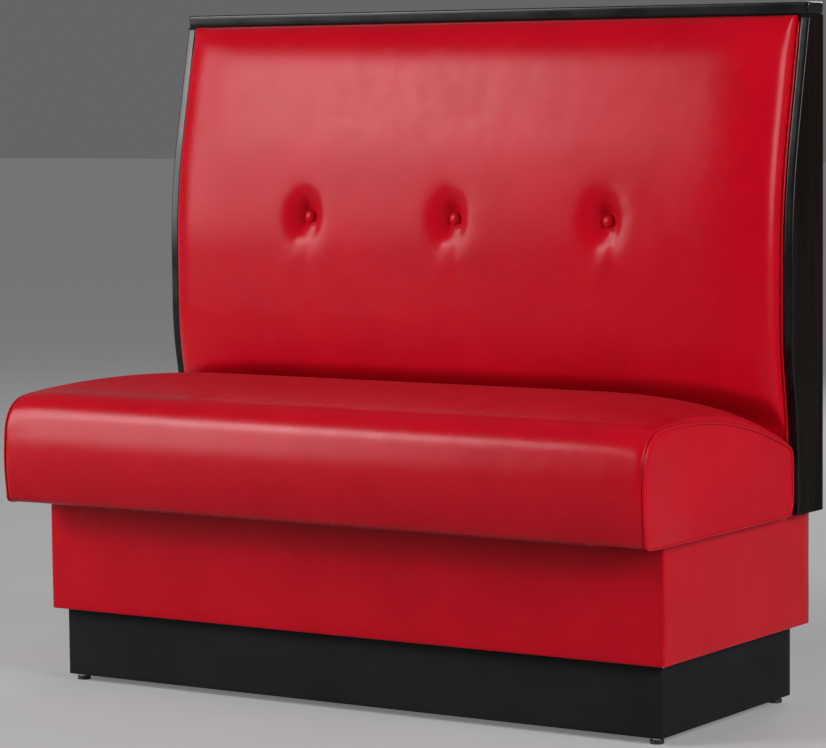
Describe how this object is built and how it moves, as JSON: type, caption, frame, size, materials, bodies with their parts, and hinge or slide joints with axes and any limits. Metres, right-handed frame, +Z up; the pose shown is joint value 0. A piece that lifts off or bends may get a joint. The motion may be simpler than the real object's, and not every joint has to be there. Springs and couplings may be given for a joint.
{
  "type": "restaurant booth seat",
  "caption": "Single-sided restaurant booth bench: crowned overhanging seat, bowed button-tufted back, capped end panels, and a wrapped base on a recessed plinth with levelling glides.",
  "frame": {"origin": "on the floor, in the middle of the footprint", "axes": "+X to the right as seen from the front, +Y to the rear, +Z up"},
  "size_m": [1.168, 0.5581, 1.072],
  "materials": {
    "red_vinyl": "semi-gloss upholstery vinyl with a fine grain",
    "black_board": "satin black melamine",
    "edge_moulding": "semi-gloss black edge moulding",
    "plinth_laminate": "matt charcoal laminate",
    "plywood": "bare birch plywood",
    "foam": "cut polyurethane foam",
    "twine": "waxed twine",
    "zinc_steel": "zinc plated",
    "glide_plastic": "black nylon"
  },
  "bodies": {
    "booth": {"back_bent_board": "plywood", "back_bolt_nuts_and_washers": "zinc_steel", "back_bolts": "zinc_steel", "back_bottom_rail": "plywood", "back_button_left": "red_vinyl", "back_button_middle": "red_vinyl", "back_button_right": "red_vinyl", "back_button_ties": "twine", "back_cover": "red_vinyl", "back_foam": "foam", "back_rear_sheet": "black_board", "back_rib_inner_left": "plywood", "back_rib_inner_right": "plywood", "back_rib_left": "plywood", "back_rib_right": "plywood", "back_top_rail": "plywood", "back_welt_left": "red_vinyl", "back_welt_right": "red_vinyl", "base_cover": "red_vinyl", "base_floor_board": "plywood", "base_front_board": "plywood", "base_left_board": "plywood", "base_rear_board": "plywood", "base_rear_shelf": "plywood", "base_right_board": "plywood", "end_panel_edging_left": "edge_moulding", "end_panel_edging_right": "edge_moulding", "end_panel_left": "black_board", "end_panel_right": "black_board", "glide_tee_nuts": "zinc_steel", "plinth_centre_rib": "plywood", "plinth_front_board": "plywood", "plinth_kick_skin": "plinth_laminate", "plinth_left_board": "plywood", "plinth_rear_board": "plywood", "plinth_right_board": "plywood", "seat_centre_rail": "plywood", "seat_cover": "red_vinyl", "seat_deck_board": "plywood", "seat_fixing_plates": "zinc_steel", "seat_fixing_screws": "zinc_steel", "seat_foam": "foam", "seat_front_rail": "plywood", "seat_left_rail": "plywood", "seat_rear_rail": "plywood", "seat_right_rail": "plywood", "seat_welt_left": "red_vinyl", "seat_welt_right": "red_vinyl", "top_cap": "black_board", "top_cap_edging": "edge_moulding"},
    "front_left_foot": {"glide_pad_front_left": "glide_plastic"},
    "front_left_stud": {"glide_stud_front_left": "zinc_steel"},
    "front_right_foot": {"glide_pad_front_right": "glide_plastic"},
    "front_right_stud": {"glide_stud_front_right": "zinc_steel"},
    "rear_left_foot": {"glide_pad_rear_left": "glide_plastic"},
    "rear_left_stud": {"glide_stud_rear_left": "zinc_steel"},
    "rear_right_foot": {"glide_pad_rear_right": "glide_plastic"},
    "rear_right_stud": {"glide_stud_rear_right": "zinc_steel"}
  },
  "joints": [
    {"name": "front_left_foot_travel", "type": "slide", "parent": "booth", "child": "front_left_foot", "axis": [0, 0, -1], "range_m": [0, 0.012]},
    {"name": "front_left_stud_turn", "type": "hinge", "parent": "front_left_foot", "child": "front_left_stud", "pos_m": [-0.5285, -0.147, 0.006], "axis": [0, 0, -1], "range_deg": [0, 4320]},
    {"name": "front_right_foot_travel", "type": "slide", "parent": "booth", "child": "front_right_foot", "axis": [0, 0, -1], "range_m": [0, 0.012]},
    {"name": "front_right_stud_turn", "type": "hinge", "parent": "front_right_foot", "child": "front_right_stud", "pos_m": [0.5285, -0.147, 0.006], "axis": [0, 0, -1], "range_deg": [0, 4320]},
    {"name": "rear_left_foot_travel", "type": "slide", "parent": "booth", "child": "rear_left_foot", "axis": [0, 0, -1], "range_m": [0, 0.012]},
    {"name": "rear_left_stud_turn", "type": "hinge", "parent": "rear_left_foot", "child": "rear_left_stud", "pos_m": [-0.5285, 0.227, 0.006], "axis": [0, 0, -1], "range_deg": [0, 4320]},
    {"name": "rear_right_foot_travel", "type": "slide", "parent": "booth", "child": "rear_right_foot", "axis": [0, 0, -1], "range_m": [0, 0.012]},
    {"name": "rear_right_stud_turn", "type": "hinge", "parent": "rear_right_foot", "child": "rear_right_stud", "pos_m": [0.5285, 0.227, 0.006], "axis": [0, 0, -1], "range_deg": [0, 4320]}
  ],
  "couplings": [
    {"joint": "front_left_stud_turn", "follows": "front_left_foot_travel", "rad_per_m": 5026.5},
    {"joint": "front_right_stud_turn", "follows": "front_right_foot_travel", "rad_per_m": 5026.5},
    {"joint": "rear_left_stud_turn", "follows": "rear_left_foot_travel", "rad_per_m": 5026.5},
    {"joint": "rear_right_stud_turn", "follows": "rear_right_foot_travel", "rad_per_m": 5026.5}
  ]
}
